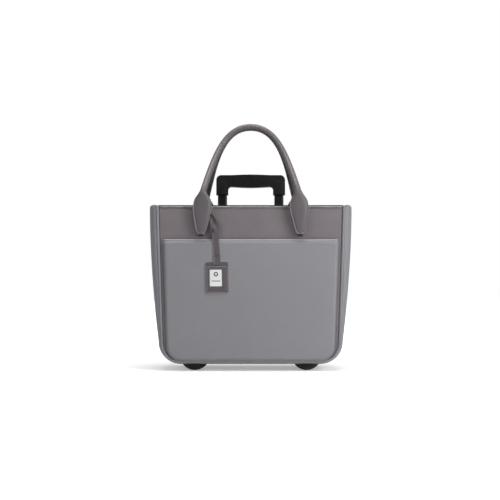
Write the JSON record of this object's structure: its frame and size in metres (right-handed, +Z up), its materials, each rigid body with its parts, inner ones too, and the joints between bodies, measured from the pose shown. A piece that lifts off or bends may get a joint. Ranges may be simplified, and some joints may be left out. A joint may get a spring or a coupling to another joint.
{
  "type": "rolling laptop case",
  "caption": "Upright leather laptop tote on wheels with a telescopic pull handle, folding carrying handles, a front pocket and a hanging tag.",
  "frame": {"origin": "on the floor under the middle of the case", "axes": "+Z up, -Y towards the front pocket, +X to the right seen from the front"},
  "size_m": [0.422, 0.199, 0.5265],
  "materials": {
    "grey_leather": "fine-grained matte coated leather",
    "mauve_leather": "smooth pebbled leather",
    "dark_edge": "edge paint and leather-covered piping",
    "lining_fabric": "woven lining",
    "board": "stiffener board",
    "black_plastic": "moulded, fine texture",
    "button_plastic": "moulded",
    "pole_metal": "black anodised",
    "steel": "polished",
    "spring_steel": "plain",
    "hub_plastic": "moulded",
    "tyre_rubber": "polyurethane tread",
    "cord_core": "twisted cotton cord",
    "card": "plain card"
  },
  "bodies": {
    "closure": {"closure_strap": "mauve_leather", "snap_stud": "steel"},
    "pole_middle": {"mid_tube_left": "pole_metal", "mid_tube_right": "pole_metal", "mid_guides": "black_plastic"},
    "pole_inner": {"inner_tube_left": "pole_metal", "inner_tube_right": "pole_metal", "grip_shell": "black_plastic", "button_spring": "spring_steel"},
    "button": {"grip_button": "button_plastic", "release_bar": "spring_steel", "push_rods": "spring_steel"},
    "wheel_left": {"wheel_hub_left": "hub_plastic", "tyre_left": "tyre_rubber", "bearings_left": "spring_steel"},
    "wheel_right": {"wheel_hub_right": "hub_plastic", "tyre_right": "tyre_rubber", "bearings_right": "spring_steel"},
    "handle_front": {"front_handle": "mauve_leather", "front_handle_core": "cord_core", "front_tab_plates": "steel"},
    "handle_rear": {"rear_handle": "mauve_leather", "rear_handle_core": "cord_core", "rear_tab_plates": "steel"},
    "tag": {"tag_strap": "mauve_leather", "tag_stud": "steel", "tag_body": "mauve_leather", "tag_card": "card"},
    "case": {"gusset_band": "grey_leather", "front_panel": "mauve_leather", "back_panel": "grey_leather", "front_piping": "dark_edge", "rear_piping": "dark_edge", "front_pocket": "grey_leather", "pocket_edge": "mauve_leather", "front_top_binding": "dark_edge", "rear_top_binding": "dark_edge", "base_board": "board", "lining": "lining_fabric", "divider": "lining_fabric", "trolley_board": "board", "trolley_top_cover": "mauve_leather", "snap_tab": "mauve_leather", "snap_socket": "steel", "outer_tube_left": "pole_metal", "outer_tube_right": "pole_metal", "collar_left": "black_plastic", "collar_right": "black_plastic", "base_bracket": "black_plastic", "bracket_screws": "spring_steel", "wheel_housing_left": "black_plastic", "wheel_housing_right": "black_plastic", "wheel_axles": "spring_steel", "foot_left": "black_plastic", "foot_right": "black_plastic", "foot_screws": "spring_steel", "front_anchors": "steel", "rear_anchors": "steel", "front_hinge_pins": "steel", "rear_hinge_pins": "steel"}
  },
  "joints": [
    {"name": "closure_hinge", "type": "hinge", "parent": "case", "child": "closure", "pos_m": [0, 0.0459, 0.3395], "axis": [-1, 0, 0], "range_deg": [0, 75]},
    {"name": "middle_slide", "type": "slide", "parent": "case", "child": "pole_middle", "axis": [0, 0, 1], "range_m": [0, 0.23]},
    {"name": "inner_slide", "type": "slide", "parent": "pole_middle", "child": "pole_inner", "axis": [0, 0, 1], "range_m": [-0.022, 0.23]},
    {"name": "button_press", "type": "slide", "parent": "pole_inner", "child": "button", "axis": [0, 0, -1], "range_m": [0, 0.004], "stiffness_N_per_m": 600, "springref_m": -0.003, "deforming": ["button_spring"]},
    {"name": "wheel_left_spin", "type": "hinge", "parent": "case", "child": "wheel_left", "pos_m": [-0.118, 0.048, 0.03], "axis": [1, 0, 0], "continuous": true},
    {"name": "wheel_right_spin", "type": "hinge", "parent": "case", "child": "wheel_right", "pos_m": [0.118, 0.048, 0.03], "axis": [1, 0, 0], "continuous": true},
    {"name": "front_handle_fold", "type": "hinge", "parent": "case", "child": "handle_front", "pos_m": [0, -0.085, 0.2882], "axis": [1, 0, 0], "range_deg": [0, 120]},
    {"name": "rear_handle_fold", "type": "hinge", "parent": "case", "child": "handle_rear", "pos_m": [0, 0.085, 0.2882], "axis": [-1, 0, 0], "range_deg": [0, 120]},
    {"name": "tag_swing", "type": "hinge", "parent": "case", "child": "tag", "pos_m": [-0.1035, -0.0793, 0.322], "axis": [-1, 0, 0], "range_deg": [0, 18]}
  ]
}
